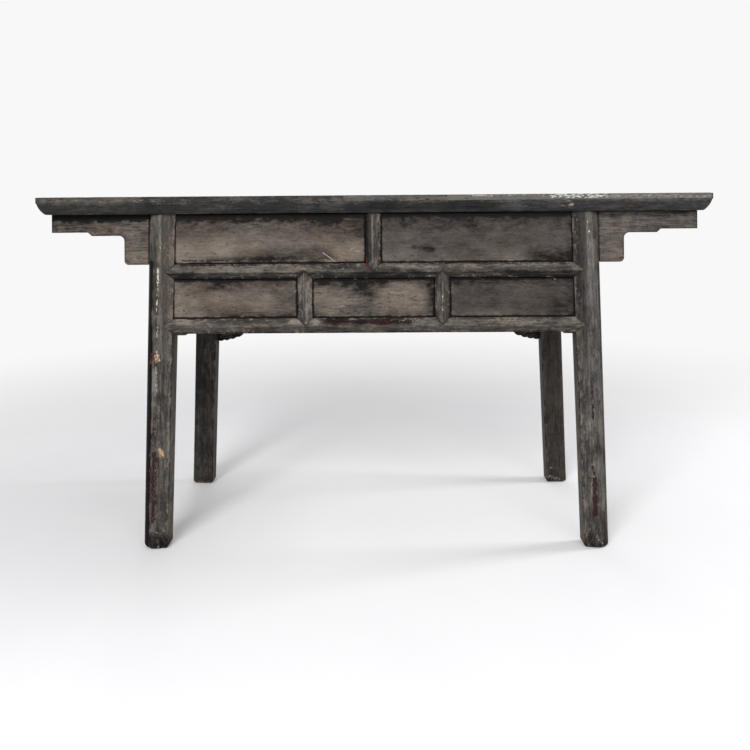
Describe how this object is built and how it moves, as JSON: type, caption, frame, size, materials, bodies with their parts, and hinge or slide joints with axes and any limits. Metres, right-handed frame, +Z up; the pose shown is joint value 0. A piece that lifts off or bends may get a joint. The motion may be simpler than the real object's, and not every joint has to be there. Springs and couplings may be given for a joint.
{
  "type": "altar table",
  "caption": "Long altar table with an overhanging moulded top, stepped wings, leaning legs and two rows of plain sliding drawers.",
  "frame": {"origin": "on the floor under the middle of the table", "axes": "+X along the table's length, +Y from the drawer side to the back, +Z up"},
  "size_m": [1.652, 0.54, 0.864],
  "materials": {
    "top_lacquer": "aged grey-black lacquer, scuffed at the edge",
    "frame_lacquer": "aged grey-black lacquer, worn to maroon and bare wood along the arrises",
    "drawer_lacquer": "faded taupe lacquer with dark smudges",
    "back_lacquer": "thin dark lacquer, matt",
    "inner_wood": "old unfinished wood"
  },
  "bodies": {
    "table": {"back_board_lower": "back_lacquer", "back_board_upper": "back_lacquer", "back_bottom_rail": "back_lacquer", "back_bracket_left": "back_lacquer", "back_bracket_right": "back_lacquer", "back_middle_rail": "back_lacquer", "drawer_guides": "inner_wood", "end_apron_left": "frame_lacquer", "end_apron_right": "frame_lacquer", "front_bottom_rail": "frame_lacquer", "front_middle_rail": "frame_lacquer", "leg_back_left": "frame_lacquer", "leg_back_right": "frame_lacquer", "leg_front_left": "frame_lacquer", "leg_front_right": "frame_lacquer", "lower_divider_left": "frame_lacquer", "lower_divider_right": "frame_lacquer", "lower_runners": "inner_wood", "side_board_left": "frame_lacquer", "side_board_right": "frame_lacquer", "side_bottom_rail_left": "frame_lacquer", "side_bottom_rail_right": "frame_lacquer", "side_top_rail_left": "frame_lacquer", "side_top_rail_right": "frame_lacquer", "top_batten_left": "inner_wood", "top_batten_middle": "inner_wood", "top_batten_right": "inner_wood", "top_frame_back": "top_lacquer", "top_frame_front": "top_lacquer", "top_frame_left": "top_lacquer", "top_frame_right": "top_lacquer", "top_panel": "top_lacquer", "upper_divider": "frame_lacquer", "upper_runners": "inner_wood", "wing_back_left": "frame_lacquer", "wing_back_right": "frame_lacquer", "wing_front_left": "frame_lacquer", "wing_front_right": "frame_lacquer"},
    "drawer_upper_left": {"drawer_upper_left_back": "inner_wood", "drawer_upper_left_bottom": "inner_wood", "drawer_upper_left_front": "drawer_lacquer", "drawer_upper_left_sides": "inner_wood"},
    "drawer_upper_right": {"drawer_upper_right_back": "inner_wood", "drawer_upper_right_bottom": "inner_wood", "drawer_upper_right_front": "drawer_lacquer", "drawer_upper_right_sides": "inner_wood"},
    "drawer_lower_left": {"drawer_lower_left_back": "inner_wood", "drawer_lower_left_bottom": "inner_wood", "drawer_lower_left_front": "drawer_lacquer", "drawer_lower_left_sides": "inner_wood"},
    "drawer_lower_middle": {"drawer_lower_middle_back": "inner_wood", "drawer_lower_middle_bottom": "inner_wood", "drawer_lower_middle_front": "drawer_lacquer", "drawer_lower_middle_sides": "inner_wood"},
    "drawer_lower_right": {"drawer_lower_right_back": "inner_wood", "drawer_lower_right_bottom": "inner_wood", "drawer_lower_right_front": "drawer_lacquer", "drawer_lower_right_sides": "inner_wood"}
  },
  "joints": [
    {"name": "drawer_upper_left_slide", "type": "slide", "parent": "table", "child": "drawer_upper_left", "axis": [0, -1, 0], "range_m": [0, 0.3]},
    {"name": "drawer_upper_right_slide", "type": "slide", "parent": "table", "child": "drawer_upper_right", "axis": [0, -1, 0], "range_m": [0, 0.3]},
    {"name": "drawer_lower_left_slide", "type": "slide", "parent": "table", "child": "drawer_lower_left", "axis": [0, -1, 0], "range_m": [0, 0.3]},
    {"name": "drawer_lower_middle_slide", "type": "slide", "parent": "table", "child": "drawer_lower_middle", "axis": [0, -1, 0], "range_m": [0, 0.3]},
    {"name": "drawer_lower_right_slide", "type": "slide", "parent": "table", "child": "drawer_lower_right", "axis": [0, -1, 0], "range_m": [0, 0.3]}
  ]
}
